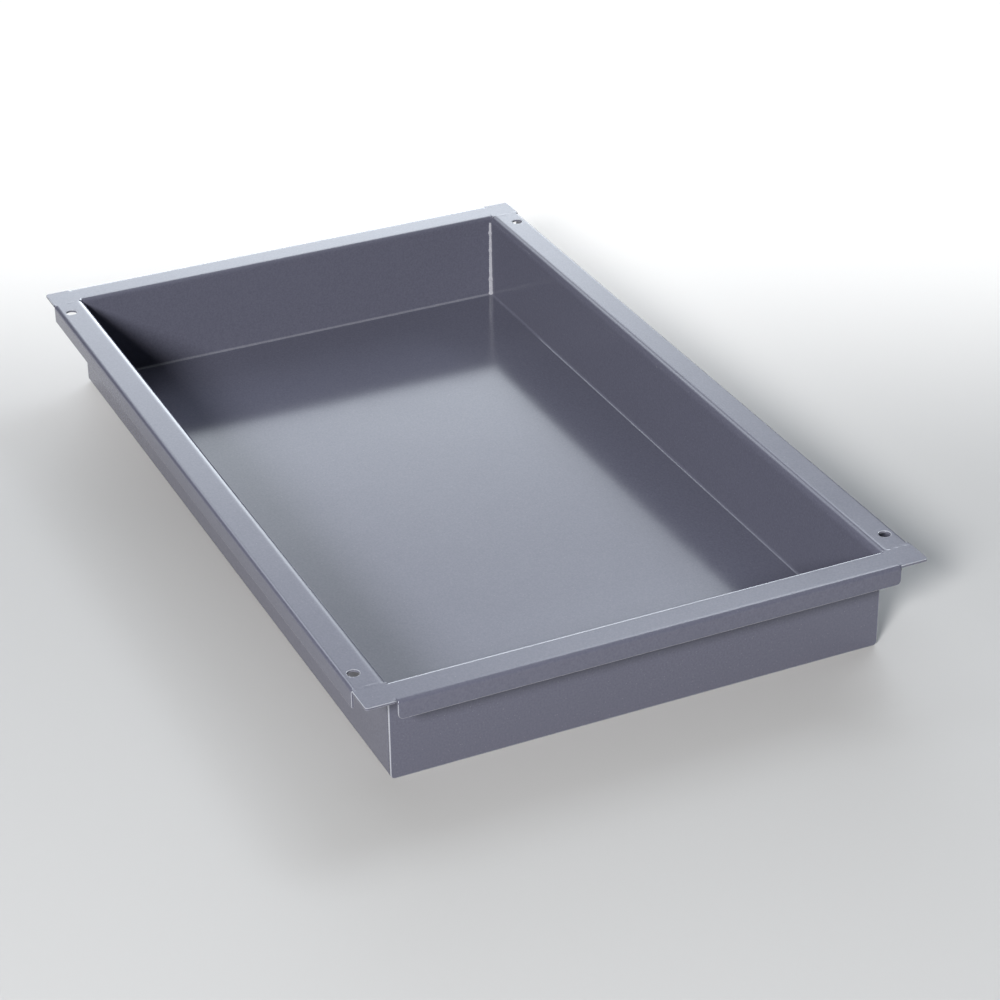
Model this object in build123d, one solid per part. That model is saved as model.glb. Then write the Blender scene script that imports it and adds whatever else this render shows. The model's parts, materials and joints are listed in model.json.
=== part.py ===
from build123d import *
import os

# Shallow rectangular pan of folded and welded enamelled sheet steel.
# Millimetres, +Z up. The origin is at the middle of the underside and +X runs along the length.
# Front is +X, rear is -X, right is +Y and left is -Y.

# Overall sizes, taken over the rims.
LENGTH = 530.0
WIDTH = 325.0
HEIGHT = 58.5

# The sheet, its folds and its ground edges. A fold's radius is that of the inside of the bend.
SHEET = 1.5
FLOOR_FOLD = 1.5
SIDE_FOLD = 3.0
END_FOLD = 0.6
LIP_FOLD = 0.8
GROUND_EDGE = 0.9

# Rims: width from the wall's outer face to the lip's, and depth down to the lip's lower edge.
SIDE_RIM = 18.5
END_RIM = 17.2
SIDE_LIP = 11.0
END_LIP = 11.0
LIP_CORNER = 3.0
END_LIP_OVERHANG = 1.5      # an end lip runs this far past each side wall's outer face
EAR_CORNER = 2.0            # tip radius of the end rims' ears

# Punched holes in the side rims.
HOLE_DIAMETER = 6.6
HOLE_FROM_END = 14.8        # from the end wall's inner face
HOLE_FROM_EDGE = 7.0        # from the rim's outer edge

# Welds.
SEAM_GAP = 1.0              # butt gap between a side rim and the end rim's ear
SEAM_DROP = 1.0             # how far the gap runs down the wall below the bend
CORNER_WELD = 2.2           # leg of the fillet welds in the four upright corners
FLOOR_WELD = 1.8            # leg of the fillet welds along the floor's two ends
WELD_HOLLOW = 0.3           # how far a fillet weld's face sinks below the flat

# Places worked out from the sizes above.
HALF = SHEET / 2
wall_x_out = LENGTH / 2 - END_RIM
wall_x_in = wall_x_out - SHEET
wall_y_out = WIDTH / 2 - SIDE_RIM
wall_y_in = wall_y_out - SHEET
rim_under = HEIGHT - SHEET
side_rim_x = wall_x_in - SEAM_GAP
seam_foot = rim_under - SIDE_FOLD - SEAM_DROP
end_bend_foot = rim_under - END_FOLD


def block(x0, x1, y0, y1, z0, z1):
    """A box given by its faces, each pair in either order."""
    centre = Pos((x0 + x1) / 2, (y0 + y1) / 2, (z0 + z1) / 2)
    return centre * Box(abs(x1 - x0), abs(y1 - y0), abs(z1 - z0))


def bent_strip(corners, folds):
    """The section of a folded sheet: the corners of its middle line and a fold radius for each bend."""
    line = FilletPolyline(*corners, radius=[fold + HALF for fold in folds])
    return trace(line, line_width=SHEET)


def fillet_weld(leg):
    """The section of a weld in a corner at the origin, with its legs along +X and +Y and a hollow face."""
    sunk = leg / 2 - WELD_HOLLOW * 0.5 ** 0.5
    return make_face([
        Line((0, 0), (leg, 0)),
        ThreePointArc((leg, 0), (sunk, sunk), (0, leg)),
        Line((0, leg), (0, 0)),
    ])


def trough_sheet():
    """Floor, two side walls, their rims and lips: one folded sheet with four punched holes."""
    wall_y = wall_y_out - HALF
    lip_y = WIDTH / 2 - HALF
    corners = [
        (0, HALF),
        (wall_y, HALF),
        (wall_y, HEIGHT - HALF),
        (lip_y, HEIGHT - HALF),
        (lip_y, HEIGHT - SIDE_LIP),
    ]
    section = bent_strip(corners, [FLOOR_FOLD, SIDE_FOLD, LIP_FOLD])
    right = extrude(Plane.YZ * section, wall_x_in, both=True)
    # At both ends the rim and lip stop at the seam, and the bend under them with it.
    for end in (-1, 1):
        right -= block(end * side_rim_x, end * LENGTH, wall_y_out, WIDTH, 0, HEIGHT + SHEET)
        right -= block(end * side_rim_x, end * LENGTH, 1, WIDTH, seam_foot, HEIGHT + SHEET)
        hole = Pos(end * (wall_x_in - HOLE_FROM_END), WIDTH / 2 - HOLE_FROM_EDGE, rim_under)
        right -= hole * Cylinder(HOLE_DIAMETER / 2, 4 * SHEET)
    return right + mirror(right, about=Plane.XZ)


def end_panel():
    """The front end: wall, rim across the full width with an ear at each side, and lip."""
    wall = extrude(
        Plane.YZ * Pos(0, end_bend_foot / 2) * Rectangle(2 * wall_y_out, end_bend_foot), SHEET
    )
    wall = fillet(wall.edges().filter_by(Axis.X).group_by(Axis.Z)[0], FLOOR_FOLD + SHEET)
    outer_face = wall.faces().sort_by(Axis.X)[-1]
    rim_edge = outer_face.edges().sort_by(Axis.Z)[-1]
    ground = [edge for edge in outer_face.edges() if edge.center() != rim_edge.center()]
    wall = Pos(wall_x_in, 0, 0) * fillet(ground, GROUND_EDGE)

    lip_x = LENGTH / 2 - HALF
    corners = [
        (wall_x_out - HALF, end_bend_foot - SEAM_DROP),
        (wall_x_out - HALF, HEIGHT - HALF),
        (lip_x, HEIGHT - HALF),
        (lip_x, HEIGHT - END_LIP),
    ]
    section = Plane.XZ * bent_strip(corners, [END_FOLD, LIP_FOLD])
    rim = extrude(section, wall_y_out, both=True)
    long_rim = extrude(section, wall_y_out + END_LIP_OVERHANG, both=True)
    lip = long_rim & block(wall_x_out + SHEET, LENGTH, -WIDTH, WIDTH, 0, HEIGHT)
    lip = fillet(lip.edges().filter_by(Axis.X).group_by(Axis.Z)[0], LIP_CORNER)
    ears = block(wall_x_in, LENGTH / 2, wall_y_out, WIDTH / 2, rim_under, HEIGHT)
    ears = fillet(ears.edges().filter_by(Axis.Z).sort_by(Axis((0, 0, 0), (1, 1, 0)))[-1], EAR_CORNER)
    return wall + rim + lip + ears + mirror(ears, about=Plane.XZ)


def floor_weld(trough):
    """The weld between the floor and the front wall, its ends shaped by the side folds."""
    corner = Plane(origin=(wall_x_in, 0, SHEET), x_dir=(-1, 0, 0), z_dir=(0, 1, 0))
    return extrude(corner * fillet_weld(FLOOR_WELD), wall_y_in, both=True) - trough


def corner_weld(trough, floor_bead):
    """The upright weld inside the front right corner, standing on the floor's fold and weld."""
    corner = Plane(origin=(wall_x_in, wall_y_in, SHEET), x_dir=(-1, 0, 0), z_dir=(0, 0, 1))
    return extrude(corner * fillet_weld(CORNER_WELD), seam_foot - SHEET) - trough - floor_bead


def rim_weld():
    """The seam at the front right: weld between the side rim and the end rim's ear, ground flush."""
    wall_y = wall_y_out - HALF
    corners = [(wall_y, seam_foot), (wall_y, HEIGHT - HALF), (WIDTH / 2, HEIGHT - HALF)]
    return extrude(Plane.YZ * Pos(0, 0, side_rim_x) * bent_strip(corners, [SIDE_FOLD]), SEAM_GAP)


def four_corners(shape, name):
    """The front right piece and its mirror images, by node name."""
    right = {"front": shape, "rear": mirror(shape, about=Plane.YZ)}
    nodes = {}
    for end, piece in right.items():
        nodes[f"{end}_right_{name}"] = piece
        nodes[f"{end}_left_{name}"] = mirror(piece, about=Plane.XZ)
    return nodes


def both_ends(shape, name):
    """The front piece and its mirror image, by node name."""
    return {f"front_{name}": shape, f"rear_{name}": mirror(shape, about=Plane.YZ)}


def pan():
    """Every piece of the pan, by node name."""
    trough = trough_sheet()
    floor_bead = floor_weld(trough)
    nodes = {"trough_sheet": trough}
    nodes.update(both_ends(end_panel(), "end_panel"))
    nodes.update(both_ends(floor_bead, "floor_weld"))
    nodes.update(four_corners(corner_weld(trough, floor_bead), "corner_weld"))
    nodes.update(four_corners(rim_weld(), "rim_weld"))
    return nodes


os.makedirs("parts", exist_ok=True)
for node, shape in pan().items():
    export_step(shape, f"parts/{node}.step")
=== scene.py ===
import json
import math

import bmesh
import bpy
from mathutils import Matrix, Vector, noise


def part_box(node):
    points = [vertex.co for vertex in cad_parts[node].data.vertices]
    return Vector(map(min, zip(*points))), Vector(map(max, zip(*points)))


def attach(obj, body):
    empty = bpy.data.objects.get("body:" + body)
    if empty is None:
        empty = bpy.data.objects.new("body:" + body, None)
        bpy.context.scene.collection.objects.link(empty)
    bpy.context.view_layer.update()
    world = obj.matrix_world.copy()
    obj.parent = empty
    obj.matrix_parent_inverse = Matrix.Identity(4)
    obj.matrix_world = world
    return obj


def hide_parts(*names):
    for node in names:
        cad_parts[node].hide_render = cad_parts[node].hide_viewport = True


# A shallow tray of folded and welded sheet steel with a granite enamel.
# Metres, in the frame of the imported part: +X to the front, +Y to the right, +Z up, origin at the
# middle of the underside.

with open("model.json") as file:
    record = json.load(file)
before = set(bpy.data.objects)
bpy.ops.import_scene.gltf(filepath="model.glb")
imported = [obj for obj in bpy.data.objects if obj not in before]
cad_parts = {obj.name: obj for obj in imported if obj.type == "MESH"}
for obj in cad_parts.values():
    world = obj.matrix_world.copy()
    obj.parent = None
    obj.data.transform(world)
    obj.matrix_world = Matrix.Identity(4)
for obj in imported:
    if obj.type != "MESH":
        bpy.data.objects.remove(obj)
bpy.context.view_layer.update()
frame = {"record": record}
MM = 0.001

# Sizes read from the frame.
trough_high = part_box("trough_sheet")[1]
panel_low, panel_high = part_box("front_end_panel")
corner_weld_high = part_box("front_right_corner_weld")[1]
rim_weld_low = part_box("front_right_rim_weld")[0]
holes = next(m for m in frame["record"]["mounts"] if m["name"] == "rim_holes")["dims"]

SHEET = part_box("front_floor_weld")[0].z     # the floor weld stands on the floor's upper face
HALF = SHEET / 2
RIM_TOP = trough_high.z
RIM = RIM_TOP - HALF                        # middle of the rims' thickness
WALL_X = panel_low.x                        # inner face of the end walls
WALL_Y = corner_weld_high.y                 # inner face of the side walls
RIM_X, RIM_Y = panel_high.x, panel_high.y
SEAM_X = rim_weld_low.x                     # where the side rims stop
SEAM_FOOT = rim_weld_low.z
HOLE_X = holes["spacing_x_mm"] / 2 * MM
HOLE_Y = holes["spacing_y_mm"] / 2 * MM
HOLE_R = holes["hole_r_mm"] * MM

# Shapes that a node's box doesn't give. A fold's radius is that of the inside of the bend.
LIP_DEPTH = 11.0 * MM
LIP_CORNER = 3.0 * MM
LIP_OVERHANG = 1.5 * MM                     # end lips past the side walls' outer faces
EAR_CORNER = 2.0 * MM
EAR_TRIM = 0.8 * MM                         # ears stop short of the lips' outer faces
EAR_RELIEF = 0.15 * MM                      # slit between an ear and the fold beside it
FLOOR_FOLD = 1.5 * MM
SIDE_FOLD = 3.0 * MM
END_FOLD = 0.6 * MM
LIP_FOLD = 0.8 * MM
FOLD_STEPS = 8
HOLE_BLOCK = 4.5 * MM                       # half the square of mesh around a hole
HOLE_STEPS = 10
HOLE_RINGS = (0, 0.35, 0.68, 1)             # shares of the way from that square to the hole

# Rounding of the sheets' edges under the enamel.
CUT_EDGE = 0.35 * MM                        # lips, ears and holes
GROUND_EDGE = 0.72 * MM                     # the end walls' upright and bottom edges, the widest
CORNER_EDGE = 0.18 * MM                     # where an outline turns a corner
SEAM_EDGE = 0.12 * MM                       # beside the seams between the rims and the ears
SHARP = math.radians(50)                    # edges that turn by more than this are rounded
EDGE_STEPS = 4

NEAR = 0.1 * MM                             # an edge this close to a line lies on it
TINY = 0.01 * MM                            # smaller than any step of the meshes
JOIN = 0.0001 * MM                          # corners this close are one


# Hand-made welds.
RIPPLE, RIPPLE_PITCH = 0.08 * MM, 1.5 * MM
SWING_PITCH = 4.0 * MM                      # of a weld's slow unevenness
FILLET_SUNK = 0.3 * MM                      # a fillet's hidden back lies this deep in the sheets
FILLET_FLAT = 0.6                           # 0 for a quarter-round hollow face, 1 for a flat one
CORNER_LEG, CORNER_SWING = 1.5 * MM, 0.12 * MM
CORNER_AT_FOOT, CORNER_TAPER = 1.15, 0.45   # share of the leg at the foot, and its loss to the top
CORNER_START = 0.6                          # share of the floor's thickness below their start
CORNER_STOPS = (0.24, 0.62, 0.86)           # shares of the height where a bead shows a restart
STOP_SHIFT, STOP_REACH = 0.05, 0.022        # how far those beads stray and reach, as shares
STOP_BEAD = 0.5 * MM
PUDDLE, PUDDLE_REACH = 0.9 * MM, 1.6 * MM   # where three sheets meet
FLOOR_LEG, FLOOR_SWING = 1.0 * MM, 0.1 * MM
SEAM_RISE, SEAM_SWING = 0.055 * MM, 0.03 * MM
SEAM_HALF = 1.5 * MM                        # half the width of the seam weld over a rim
SEAM_SINK = 0.04 * MM                       # its edges lie this far under the rim's surface
SEAM_BACK = 0.1 * MM                        # its hidden back is this far above the underside
SEAM_BACK_SHARE = 0.6                       # and this share as wide
SEAM_STOP = 0.5 * MM                        # its end before the rim's outer edge
SEAM_PACE = 0.5 * MM                        # step of its unevenness
BLOB_PLACE = Vector((0.9, 1.8, -0.4)) * MM  # from the walls' inner faces and the rims' middle
BLOB_SIZE = (1.3 * MM, 1.3 * MM, 1.2 * MM, 1)


# ---------------------------------------------------------------- mesh tools

def straight(start, end, steps):
    """Points from start to end, both included."""
    return [Vector(start).lerp(Vector(end), k / steps) for k in range(steps + 1)]


def fold(corner, before, after, radius):
    """Points round a quarter turn at a corner, between the runs along before and after."""
    corner, before, after = Vector(corner), Vector(before), Vector(after)
    centre = corner + (after - before) * radius
    turn = [math.pi / 2 * k / FOLD_STEPS for k in range(FOLD_STEPS + 1)]
    return [centre + (before * math.sin(a) - after * math.cos(a)) * radius for a in turn]


def ladder(*runs):
    """Places from 0 on, in runs of (end, steps), and their negatives."""
    places = [0.0]
    for end, steps in runs:
        start = places[-1]
        places += [start + (end - start) * k / steps for k in range(1, steps + 1)]
    return [-p for p in reversed(places[1:])] + places


def round_corner(point, corner, inward, radius):
    """Bends the square behind a plate's corner into a quarter circle. inward is two signs."""
    u, v = (1 - (p - c) * s / radius for p, c, s in zip(point, corner, inward))
    if u <= 0 or v <= 0:
        return point
    back = (1 - u * math.sqrt(1 - v * v / 2), 1 - v * math.sqrt(1 - u * u / 2))
    return [c + s * radius * b for c, s, b in zip(corner, inward, back)]


def new_object(name, mesh):
    """An object of a bmesh, whose faces are joined where they touch and face outwards."""
    bmesh.ops.remove_doubles(mesh, verts=mesh.verts, dist=JOIN)
    bmesh.ops.recalc_face_normals(mesh, faces=mesh.faces)
    data = bpy.data.meshes.new(name)
    mesh.to_mesh(data)
    mesh.free()
    data.shade_smooth()
    obj = bpy.data.objects.new(name, data)
    bpy.context.scene.collection.objects.link(obj)
    return obj


def add_strip(mesh, rows, lines, place, skip=None):
    """Quads between neighbouring rows and lines: place(row, line) is a corner."""
    for low, high in zip(rows, rows[1:]):
        if (low - high).length < TINY:
            continue
        for a, b in zip(lines, lines[1:]):
            if skip is None or not skip(a, b):
                corners = (place(low, a), place(low, b), place(high, b), place(high, a))
                mesh.faces.new([mesh.verts.new(c) for c in corners])


def thicken(obj):
    """Gives a sheet's middle surface its thickness."""
    solid = obj.modifiers.new("thickness", "SOLIDIFY")
    solid.thickness = SHEET
    solid.offset = 0
    solid.use_even_offset = True
    solid.use_quality_normals = True
    graph = bpy.context.evaluated_depsgraph_get()
    data = bpy.data.meshes.new_from_object(obj.evaluated_get(graph))
    obj.modifiers.clear()
    obj.data = data


def round_edges(obj, width_at):
    """Rounds each sharp edge by width_at(middle of the edge), 0 for none."""
    mesh = bmesh.new()
    mesh.from_mesh(obj.data)
    weight = mesh.edges.layers.float.new("bevel_weight_edge")
    for edge in mesh.edges:
        if edge.calc_face_angle(0) > SHARP:
            middle = (edge.verts[0].co + edge.verts[1].co) / 2
            edge[weight] = width_at(middle) / GROUND_EDGE
    mesh.to_mesh(obj.data)
    mesh.free()
    bevel = obj.modifiers.new("enamelled_edges", "BEVEL")
    bevel.limit_method = "WEIGHT"
    bevel.width = GROUND_EDGE
    bevel.segments = EDGE_STEPS
    bevel.use_clamp_overlap = False
    bevel.material = 1                      # rounded edges take the second material, the paler edge enamel that carries a painted highlight
    even = obj.modifiers.new("flat_faces", "WEIGHTED_NORMAL")
    even.weight = 90                        # large faces stay flat up to the rounding
    even.keep_sharp = False
    obj.data.shade_smooth()


# ---------------------------------------------------------------- sheets

def hole_patch(mesh, centre):
    """A square of the rim's middle surface with a round hole in it."""
    side = straight((-1, -1), (1, -1), HOLE_STEPS)[:-1]
    square = [Matrix.Rotation(math.pi / 2 * k, 2) @ p for k in range(4) for p in side]
    rings = []
    for share in HOLE_RINGS:
        ring = []
        for p in square:
            at = (p * HOLE_BLOCK).lerp(p.normalized() * HOLE_R, share)
            ring.append((centre[0] + at.x, centre[1] + at.y, RIM))
        rings.append(ring)
    for outer, inner in zip(rings, rings[1:]):
        for k in range(len(square)):
            n = (k + 1) % len(square)
            corners = (outer[k], outer[n], inner[n], inner[k])
            mesh.faces.new([mesh.verts.new(c) for c in corners])


def trough():
    """Floor, side walls, side rims and side lips."""
    wall, lip = WALL_Y + HALF, RIM_Y - HALF
    floor_r, side_r, lip_r = (r + HALF for r in (FLOOR_FOLD, SIDE_FOLD, LIP_FOLD))
    right, up, down = (1, 0), (0, 1), (0, -1)
    low_part = (
        straight((0, HALF), (wall - floor_r, HALF), 12)
        + fold((wall, HALF), right, up, floor_r)
        + straight((wall, HALF + floor_r), (wall, SEAM_FOOT), 5)
    )
    patch_in, patch_out = HOLE_Y - HOLE_BLOCK, HOLE_Y + HOLE_BLOCK
    bend = (
        straight((wall, SEAM_FOOT), (wall, RIM - side_r), 1)
        + fold((wall, RIM), up, right, side_r)
        + straight((wall + side_r, RIM), (patch_in, RIM), 4)
    )
    punched = straight((patch_in, RIM), (patch_out, RIM), HOLE_STEPS)
    edge = (
        straight((patch_out, RIM), (lip - lip_r, RIM), 1)
        + fold((lip, RIM), right, down, lip_r)
        + straight((lip, RIM - lip_r), (lip, RIM_TOP - LIP_DEPTH), 3)
    )
    lines = ladder(
        (HOLE_X - HOLE_BLOCK, 24), (HOLE_X + HOLE_BLOCK, HOLE_STEPS), (SEAM_X, 4), (WALL_X, 1)
    )
    short = [x for x in lines if abs(x) < SEAM_X + TINY]

    def in_hole(a, b):
        return abs(abs(a + b) / 2 - HOLE_X) < HOLE_BLOCK

    mesh = bmesh.new()
    for side in (-1, 1):
        def place(row, x):
            return Vector((x, side * row.x, row.y))

        add_strip(mesh, low_part, lines, place)
        add_strip(mesh, bend, short, place)
        add_strip(mesh, punched, short, place, skip=in_hole)
        add_strip(mesh, edge, short, place)
        for end in (-1, 1):
            hole_patch(mesh, (end * HOLE_X, side * HOLE_Y))
    obj = new_object("trough", mesh)
    thicken(obj)

    def edge_width(p):
        if abs(p.x) > WALL_X - NEAR:
            return 0                        # butted and welded to the end panel
        if abs(p.x) > SEAM_X - NEAR and p.z > RIM - SHEET:
            return SEAM_EDGE
        return CUT_EDGE

    round_edges(obj, edge_width)
    return obj


def end_panel(name, end):
    """End wall, the rim across the full width with its ears, and the lip."""
    wall, lip = WALL_X + HALF, RIM_X - HALF
    wall_r, lip_r = END_FOLD + HALF, LIP_FOLD + HALF
    wall_side, lip_side = WALL_Y + SHEET, WALL_Y + SHEET + LIP_OVERHANG
    lip_foot = RIM_TOP - LIP_DEPTH
    wall_corner = FLOOR_FOLD + SHEET
    out, up, down = (1, 0), (0, 1), (0, -1)

    ear = RIM_X - EAR_TRIM

    wall_rows = (
        straight((wall, 0), (wall, wall_corner), 4)
        + straight((wall, wall_corner), (wall, RIM - wall_r), 6)
        + fold((wall, RIM), up, out, wall_r)
    )
    rim_rows = straight((wall + wall_r, RIM), (lip - lip_r, RIM), 8)
    lip_rows = (
        fold((lip, RIM), out, down, lip_r)
        + straight((lip, RIM - lip_r), (lip, lip_foot + LIP_CORNER), 2)
        + straight((lip, lip_foot + LIP_CORNER), (lip, lip_foot), 4)
    )
    ear_in_rows = straight((WALL_X, RIM), (wall + wall_r, RIM), 3)
    ear_out_rows = straight((lip - lip_r, RIM), (ear, RIM), 4)
    lines = ladder(
        (wall_side - wall_corner, 14), (lip_side, 6), (lip_side + EAR_RELIEF, 1),
        (RIM_Y - EAR_CORNER, 8), (RIM_Y, 4),
    )

    def within(limit):
        return [y for y in lines if abs(y) < limit + TINY]

    def wall_place(row, y):
        side, z = round_corner((abs(y), row.y), (wall_side, 0), (-1, 1), wall_corner)
        return Vector((end * row.x, math.copysign(side, y), z))

    def lip_place(row, y):
        side, z = round_corner((abs(y), row.y), (lip_side, lip_foot), (-1, 1), LIP_CORNER)
        return Vector((end * row.x, math.copysign(side, y), z))

    def rim_place(row, y):
        x, side = round_corner((row.x, abs(y)), (ear, RIM_Y), (-1, -1), EAR_CORNER)
        return Vector((end * x, math.copysign(side, y), row.y))

    mesh = bmesh.new()
    add_strip(mesh, wall_rows, within(wall_side), wall_place)
    add_strip(mesh, rim_rows, lines, rim_place)
    add_strip(mesh, lip_rows, within(lip_side), lip_place)
    beside_wall, beside_lip = wall_side + EAR_RELIEF, lip_side + EAR_RELIEF
    slits = (wall_side, beside_wall, lip_side, beside_lip)
    add_strip(mesh, ear_in_rows, lines, rim_place, lambda a, b: abs(a + b) / 2 < beside_wall)
    add_strip(mesh, ear_out_rows, lines, rim_place, lambda a, b: abs(a + b) / 2 < beside_lip)
    obj = new_object(name, mesh)
    thicken(obj)

    def edge_width(p):
        x, y = abs(p.x), abs(p.y)
        if p.z > RIM - SHEET and min(abs(y - s) for s in slits) < NEAR:
            return 0                        # the slits stay tight
        if x < WALL_X + NEAR:
            return SEAM_EDGE if p.z > RIM - SHEET else 0
        if x < WALL_X + SHEET + NEAR and p.z < RIM - SHEET:
            turns = p.z < wall_corner and y > wall_side - wall_corner
            return CORNER_EDGE if turns else GROUND_EDGE
        lip_turns = p.z < lip_foot + LIP_CORNER and y > lip_side - LIP_CORNER
        ear_turns = x > ear - EAR_CORNER and y > RIM_Y - EAR_CORNER
        return CORNER_EDGE if lip_turns or ear_turns else CUT_EDGE

    round_edges(obj, edge_width)
    return obj


# ---------------------------------------------------------------- welds

def tube(mesh, rings):
    """A closed solid through rings of points, capped at both ends."""
    rings = [[mesh.verts.new(p) for p in ring] for ring in rings]
    for a, b in zip(rings, rings[1:]):
        for k in range(len(a)):
            n = (k + 1) % len(a)
            mesh.faces.new((a[k], a[n], b[n], b[k]))
    mesh.faces.new(rings[0][::-1])
    mesh.faces.new(rings[-1])


def hollow_fillet(leg, steps=8):
    """A fillet weld's section: its slightly hollow face from leg to leg, and its hidden back."""
    face = []
    for k in range(steps + 1):
        a, flat = math.pi / 2 * k / steps, k / steps
        hollow = Vector((1 - math.cos(a), 1 - math.sin(a)))
        face.append(hollow.lerp(Vector((flat, 1 - flat)), FILLET_FLAT) * leg)
    sunk = -FILLET_SUNK
    return face + [(leg, sunk), (sunk, sunk), (sunk, leg)]


def uneven(place, seed, size):
    """A smooth random swing about 0 along a weld, the same at each run."""
    return size * noise.noise(Vector((place / SWING_PITCH, seed, 0))) * 2


def ripple(place):
    """The small even waves along a weld."""
    return RIPPLE * math.sin(2 * math.pi * place / RIPPLE_PITCH)


def corner_weld(name, end, side, seed):
    """The upright weld inside a corner, with small beads where it was stopped and started."""
    foot, steps = SHEET * CORNER_START, 320
    rings = []
    for k in range(steps + 1):
        share = k / steps
        z = foot + (SEAM_FOOT + SHEET - foot) * share
        size = CORNER_LEG * (CORNER_AT_FOOT - CORNER_TAPER * share)
        size += uneven(z, seed, CORNER_SWING) + ripple(z)
        for stop in CORNER_STOPS:
            shift = STOP_SHIFT * noise.noise(Vector((seed, stop * 10, 0)))
            size += STOP_BEAD * math.exp(-((share - stop - shift) / STOP_REACH) ** 2)
        size += PUDDLE * math.exp(-((z - SHEET) / PUDDLE_REACH) ** 2)
        rings.append([
            (end * (WALL_X - a), side * (WALL_Y - b), z) for a, b in hollow_fillet(size)
        ])
    mesh = bmesh.new()
    tube(mesh, rings)
    return new_object(name, mesh)


def floor_weld(name, end, seed):
    """The weld along the foot of an end wall."""
    reach, steps = WALL_Y + HALF, 1300
    rings = []
    for k in range(steps + 1):
        y = reach * (2 * k / steps - 1)
        size = FLOOR_LEG + uneven(y, seed, FLOOR_SWING) + ripple(y)
        rings.append([(end * (WALL_X - a), y, SHEET + b) for a, b in hollow_fillet(size)])
    mesh = bmesh.new()
    tube(mesh, rings)
    return new_object(name, mesh)


def rim_weld(name, end, side, seed):
    """The seam between a side rim and an ear, from the inner corner out, and that corner's blob."""
    wall, fold_r = WALL_Y + HALF, SIDE_FOLD + HALF
    path = (
        straight((wall, SEAM_FOOT), (wall, RIM - fold_r), 1)[:-1]
        + fold((wall, RIM), (0, 1), (1, 0), fold_r)[:-1]
        + straight((wall + fold_r, RIM), (RIM_Y - SEAM_STOP, RIM), 34)
    )
    middle, arc_steps = (SEAM_X + WALL_X) / 2, 8
    rings = []
    for k, at in enumerate(path):
        ahead = path[min(k + 1, len(path) - 1)] - path[max(k - 1, 0)]
        outward = Vector((-ahead.y, ahead.x)).normalized()
        rise = SEAM_RISE + uneven(k * SEAM_PACE, seed, SEAM_SWING)
        ring = []
        for j in range(arc_steps + 1):
            a = math.pi * j / arc_steps
            height = HALF - SEAM_SINK + rise * math.sin(a)
            ring.append((middle - SEAM_HALF * math.cos(a), at + outward * height))
        for way in (1, -1):
            back = at - outward * (HALF - SEAM_BACK)
            ring.append((middle + way * SEAM_BACK_SHARE * SEAM_HALF, back))
        rings.append([(end * x, side * p.x, p.y) for x, p in ring])
    mesh = bmesh.new()
    tube(mesh, rings)
    x, y, z = Vector((WALL_X, WALL_Y, RIM)) + BLOB_PLACE
    blob = Matrix.Translation((end * x, side * y, z)) @ Matrix.Diagonal(BLOB_SIZE)
    bmesh.ops.create_icosphere(mesh, subdivisions=3, radius=1, matrix=blob)
    return new_object(name, mesh)


# ---------------------------------------------------------------- materials

def node(tree, kind, inputs=None, **settings):
    """A new shader node with its settings and the values or links of its inputs."""
    made = tree.nodes.new(kind)
    for key, value in settings.items():
        setattr(made, key, value)
    for key, value in (inputs or {}).items():
        if isinstance(value, bpy.types.NodeSocket):
            tree.links.new(value, made.inputs[key])
        else:
            made.inputs[key].default_value = value
    return made


def math_node(tree, operation, *values):
    return node(tree, "ShaderNodeMath", dict(enumerate(values)), operation=operation).outputs[0]


def ramp(tree, value, start, end):
    """0 at start to 1 at end, with soft ends."""
    return node(tree, "ShaderNodeMapRange", {
        "Value": value, "From Min": start, "From Max": end,
    }, interpolation_type="SMOOTHSTEP").outputs["Result"]


def empty_material(name):
    material = bpy.data.materials.new(name)
    material.use_nodes = True
    material.node_tree.nodes.clear()
    return material, material.node_tree


def granite_enamel(name, dark, pale):
    """Blue-grey glassy enamel: mottled ground, fine pale flecks, a faint orange-peel surface."""
    material, tree = empty_material(name)
    place = node(tree, "ShaderNodeTexCoord").outputs["Object"]

    def cloud(scale, detail):
        return node(
            tree, "ShaderNodeTexNoise", {"Vector": place, "Scale": scale, "Detail": detail}
        ).outputs["Fac"]

    def mix(share, first, second):
        return node(
            tree, "ShaderNodeMix", {0: share, 6: first, 7: second}, data_type="RGBA"
        ).outputs[2]

    def bump(height, depth, **under):
        return node(tree, "ShaderNodeBump", {
            "Height": height, "Strength": 1.0, "Distance": depth, **under,
        }).outputs["Normal"]

    ground = mix(cloud(MOTTLE_SCALE, detail=3.0), dark, pale)
    for scale, size, share in FLECKS:
        cells = node(tree, "ShaderNodeTexVoronoi", {"Vector": place, "Scale": scale})
        near = ramp(tree, cells.outputs["Distance"], size, size * FLECK_CORE)
        pick = node(tree, "ShaderNodeSeparateColor", {"Color": cells.outputs["Color"]})
        chosen = node(tree, "ShaderNodeMapRange", {
            "Value": pick.outputs["Red"], "From Min": 1 - share, "From Max": 1.0,
        }).outputs["Result"]
        ground = mix(math_node(tree, "MULTIPLY", near, chosen), ground, FLECK_COLOUR)

    rough = node(tree, "ShaderNodeMapRange", {
        "Value": cloud(GLOSS_SCALE, detail=2.0), "To Min": ROUGHNESS[0], "To Max": ROUGHNESS[1],
    }).outputs["Result"]
    wavy = bump(cloud(WAVE_SCALE, detail=1.0), SHEET_WAVE)
    bumpy = bump(cloud(PEEL_SCALE, detail=2.0), ORANGE_PEEL, Normal=wavy)
    shader = node(tree, "ShaderNodeBsdfPrincipled", {
        "Base Color": ground, "Roughness": rough, "Normal": bumpy, "IOR": ENAMEL_IOR,
    })
    node(tree, "ShaderNodeOutputMaterial", {"Surface": shader.outputs["BSDF"]})
    return material


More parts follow.
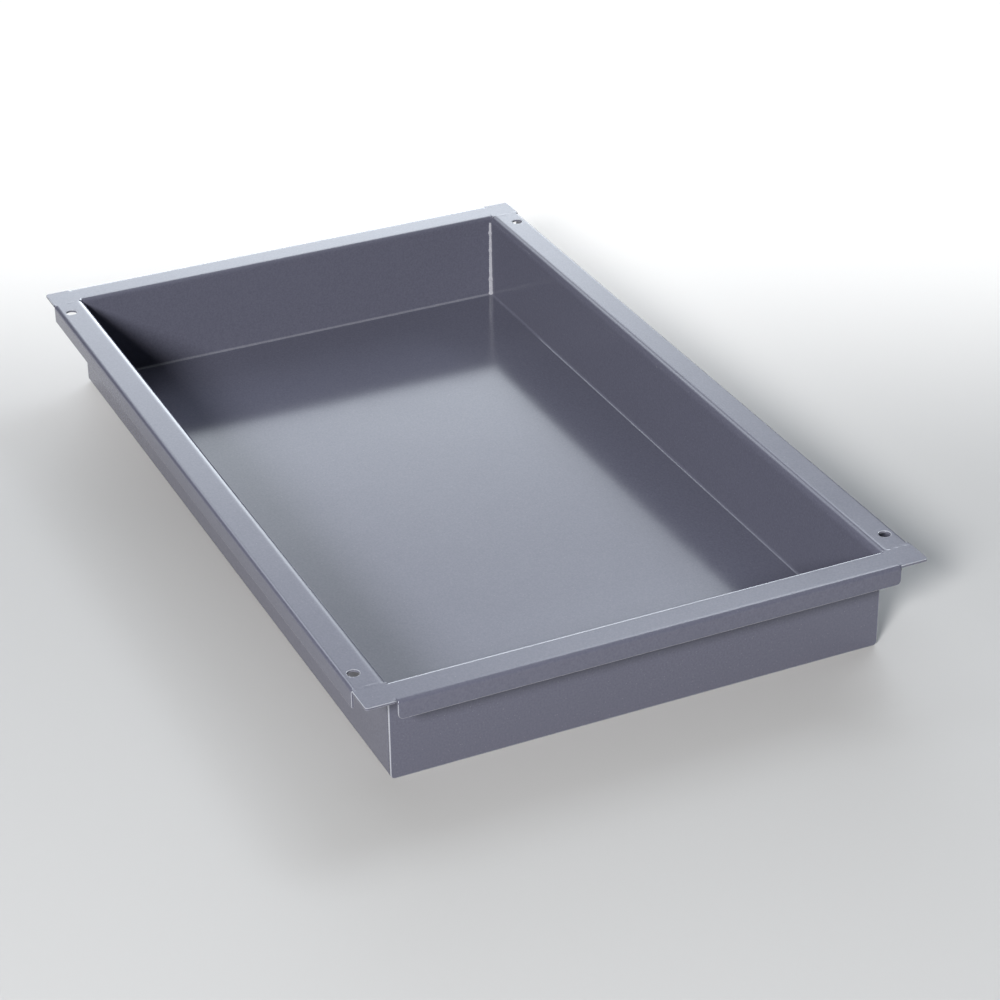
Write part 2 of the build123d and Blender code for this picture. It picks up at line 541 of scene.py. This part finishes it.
# Colours of the dark and the pale parts of the mottle, linear.
GROUND = (0.086, 0.087, 0.120, 1), (0.138, 0.140, 0.184, 1)
EDGE_THIN_ENAMEL_AND_HIGHLIGHT = (0.26, 0.27, 0.31, 1), (0.40, 0.41, 0.45, 1)             # thin enamel over rounded edges: partly the enamel's own paler tone there, partly a painted highlight along the edges
BEAD_PAINTED_HIGHLIGHT = (0.28, 0.28, 0.32, 1), (0.46, 0.46, 0.50, 1)             # over the corner welds: paler, a painted highlight standing in for their bright line
FOOT_PAINTED_HIGHLIGHT = (0.12, 0.122, 0.155, 1), (0.20, 0.203, 0.24, 1)          # over the floor welds: paler, a painted highlight standing in for their bright line
FLECK_COLOUR = (0.21, 0.22, 0.26, 1)
FLECKS = (900.0, 0.24, 0.06), (420.0, 0.13, 0.03)       # cells per metre, size, share filled
FLECK_CORE = 0.5                                        # share of a fleck in its full colour
# Cells per metre of the mottle, the gloss, the sheet's waves and the orange peel.
MOTTLE_SCALE, GLOSS_SCALE, WAVE_SCALE, PEEL_SCALE = 900.0, 60.0, 14.0, 420.0
ROUGHNESS = 0.119, 0.161                                # of the glossiest and the dullest parts
ENAMEL_IOR = 1.52
SHEET_WAVE = 0.08 * MM
ORANGE_PEEL = 0.006 * MM


# ---------------------------------------------------------------- the object

enamel = granite_enamel("granite_enamel", *GROUND)
# paler over rounded edges: partly thin enamel, partly a painted highlight
edge_enamel_and_highlight = granite_enamel("thin_edge_enamel_and_painted_highlight", *EDGE_THIN_ENAMEL_AND_HIGHLIGHT)
# paler over the corner welds: a painted highlight
bead_highlight_enamel = granite_enamel("corner_weld_painted_highlight", *BEAD_PAINTED_HIGHLIGHT)
# paler over the floor welds: a painted highlight
foot_highlight_enamel = granite_enamel("floor_weld_painted_highlight", *FOOT_PAINTED_HIGHLIGHT)


def place_piece(obj, node_name, finish=enamel):
    """Gives a piece its material and puts it on the frame in place of its CAD node."""
    obj.data.materials.clear()
    obj.data.materials.append(finish)
    obj.data.materials.append(edge_enamel_and_highlight)
    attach(obj, "root")
    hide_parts(node_name)


FLOOR_SEED, END_SEED, SIDE_SEED = 3.7, 11.3, 5.9        # no two welds are uneven in the same way

place_piece(trough(), "trough_sheet")
for end_name, end in (("front", 1), ("rear", -1)):
    place_piece(end_panel(f"{end_name}_end", end), f"{end_name}_end_panel")
    bead = floor_weld(f"{end_name}_floor_bead", end, FLOOR_SEED * end)
    place_piece(bead, f"{end_name}_floor_weld", foot_highlight_enamel)
    for side_name, side in (("right", 1), ("left", -1)):
        corner = f"{end_name}_{side_name}"
        seed = END_SEED * end + SIDE_SEED * side
        bead = corner_weld(f"{corner}_corner_bead", end, side, seed)
        place_piece(bead, f"{corner}_corner_weld", bead_highlight_enamel)
        place_piece(rim_weld(f"{corner}_rim_bead", end, side, seed), f"{corner}_rim_weld")


# ---------------------------------------------------------------- studio

def floor_material():
    """A plain pale floor with painted light: it glows more and more towards the back, standing in
    for light falling on it there, so that it runs out into a white, evenly lit backdrop.
    """
    material, tree = empty_material("pale_floor")
    place = node(tree, "ShaderNodeTexCoord").outputs["Object"]
    away = node(
        tree, "ShaderNodeVectorMath", {0: place, 1: BEHIND}, operation="DOT_PRODUCT"
    ).outputs["Value"]
    # painted light: the floor glows more the further back it lies
    glow = math_node(tree, "MULTIPLY", ramp(tree, away, FADE_START, FADE_END), FLOOR_PAINTED_LIGHT)
    shader = node(tree, "ShaderNodeBsdfPrincipled", {
        "Base Color": FLOOR_COLOUR, "Roughness": FLOOR_ROUGHNESS,
        "Emission Color": PAINTED_LIGHT_COLOUR, "Emission Strength": glow,
    })
    node(tree, "ShaderNodeOutputMaterial", {"Surface": shader.outputs["BSDF"]})
    return material


def studio_world():
    """A dark room: a dim ceiling, a white backdrop low down behind, three softboxes above it."""
    world = bpy.data.worlds.new("studio")
    world.use_nodes = True
    tree = world.node_tree
    tree.nodes.clear()
    way = node(tree, "ShaderNodeTexCoord").outputs["Generated"]
    axes = node(tree, "ShaderNodeSeparateXYZ", {"Vector": way}).outputs
    height = math_node(tree, "DEGREES", math_node(tree, "ARCSINE", axes["Z"]))
    heading = math_node(tree, "DEGREES", math_node(tree, "ARCTAN2", axes["Y"], axes["X"]))

    def beside(middle, half, left_half):
        """1 at a heading, falling to 0 at its half-widths to either side."""
        swing = math_node(tree, "WRAP", math_node(tree, "SUBTRACT", heading, middle), 180.0, -180.0)
        return math_node(
            tree, "MULTIPLY", ramp(tree, swing, left_half, 0.0), ramp(tree, swing, -half, 0.0)
        )

    ceiling = math_node(tree, "MULTIPLY", ramp(tree, height, CEILING_START, CEILING_FULL), CEILING)
    climb = node(tree, "ShaderNodeMapRange", {
        "Value": height, "From Min": BACKDROP_TOP, "From Max": BACKDROP_FULL,
    }).outputs["Result"]
    backdrop = math_node(tree, "MULTIPLY", climb, beside(*BACKDROP_SPAN))
    backdrop = math_node(tree, "MULTIPLY", backdrop, BACKDROP)

    def softbox(power, span, middle, half):
        """A light patch over a span of headings, around a height."""
        rise = math_node(tree, "ABSOLUTE", math_node(tree, "SUBTRACT", height, middle))
        lit = math_node(tree, "MULTIPLY", ramp(tree, rise, half, 0.0), beside(*span))
        return math_node(tree, "MULTIPLY", lit, power)

    total = math_node(tree, "ADD", math_node(tree, "ADD", ceiling, backdrop), ROOM)
    for box in (HAIR, LOW_FILL, STRIP):
        total = math_node(tree, "ADD", total, softbox(*box))
    glow = node(tree, "ShaderNodeBackground", {"Color": ROOM_COLOUR, "Strength": total})
    node(tree, "ShaderNodeOutputWorld", {"Surface": glow.outputs["Background"]})
    return world


def key_light():
    """A soft key from the front left."""
    data = bpy.data.lights.new("key", "AREA")
    data.shape = "DISK"
    data.size = KEY_SIZE
    data.energy = KEY
    light = bpy.data.objects.new("key", data)
    heading, height = (math.radians(a) for a in (KEY_HEADING, KEY_HEIGHT))
    way = Vector((
        math.cos(heading) * math.cos(height), math.sin(heading) * math.cos(height), math.sin(height)
    ))
    light.location = way * KEY_DISTANCE
    light.rotation_euler = way.to_track_quat("Z", "Y").to_euler()
    bpy.context.scene.collection.objects.link(light)


def studio_camera():
    """The camera, looking down along the tray from the front left."""
    heading, down, roll = (math.radians(a) for a in (CAMERA_HEADING, CAMERA_DOWN, CAMERA_ROLL))
    ahead = Vector((
        -math.cos(heading) * math.cos(down), math.sin(heading) * math.cos(down), -math.sin(down)
    ))
    right = ahead.cross(Vector((0, 0, 1))).normalized()
    up = right.cross(ahead)
    turned_right = right * math.cos(roll) + up * math.sin(roll)
    turned_up = up * math.cos(roll) - right * math.sin(roll)
    data = bpy.data.cameras.new("camera")
    data.lens = CAMERA_LENS
    data.clip_start, data.clip_end = CAMERA_CLIP
    camera = bpy.data.objects.new("camera", data)
    axes = Matrix((turned_right, turned_up, -ahead)).transposed().to_4x4()
    camera.matrix_world = Matrix.Translation(CAMERA_PLACE) @ axes
    bpy.context.scene.collection.objects.link(camera)
    bpy.context.scene.camera = camera


CAMERA_PLACE = Vector((1.3442, -0.5847, 0.8331))
CAMERA_HEADING, CAMERA_DOWN, CAMERA_ROLL = 24.69, 29.6, -0.86      # degrees
CAMERA_LENS = 101.87                         # mm
CAMERA_CLIP = 0.05, 50.0

BEHIND = (-0.885, 0.465, 0)                  # the way from the tray's middle to the backdrop
FADE_START, FADE_END = -0.04, 0.48           # metres along it, over which the floor's painted light rises to full
FLOOR_COLOUR = (0.50, 0.493, 0.485, 1)
FLOOR_ROUGHNESS = 0.8
# painted light on the floor towards the back, and its colour
FLOOR_PAINTED_LIGHT, PAINTED_LIGHT_COLOUR = 0.58, (1, 0.99, 0.975, 1)
FLOOR_HALF = 6.0
FLOOR_GAP = 0.1 * MM                         # below the tray's underside

# The key light: watts, metres, and degrees. Headings turn from +X towards +Y.
KEY, KEY_DISTANCE, KEY_SIZE = 158.0, 3.5, 0.85
KEY_HEADING, KEY_HEIGHT = -42.0, 29.0

# The world, in radiance and degrees. A span is a heading and the half-widths to its either side.
ROOM, ROOM_COLOUR = 0.01, (0.875, 0.94, 1.01, 1)
CEILING, CEILING_START, CEILING_FULL = 0.6, 45.0, 80.0
BACKDROP, BACKDROP_SPAN = 8.5, (158.0, 21.0, 30.0)
BACKDROP_FULL, BACKDROP_TOP = 14.0, 36.2
# Softboxes: radiance, span, height of the middle, and half-height.
HAIR = 16.0, (129.0, 36.0, 36.0), 37.0, 7.0
LOW_FILL = 4.0, (184.0, 26.0, 30.0), 38.0, 12.0
STRIP = 5.0, (140.0, 22.0, 22.0), 51.0, 9.0

studio_camera()
bpy.context.scene.world = studio_world()
key_light()

mesh = bmesh.new()
bmesh.ops.create_grid(mesh, x_segments=1, y_segments=1, size=FLOOR_HALF)
floor = new_object("floor", mesh)
floor.data.materials.append(floor_material())
floor.location.z = -FLOOR_GAP

bpy.context.scene.view_settings.view_transform = "Standard"
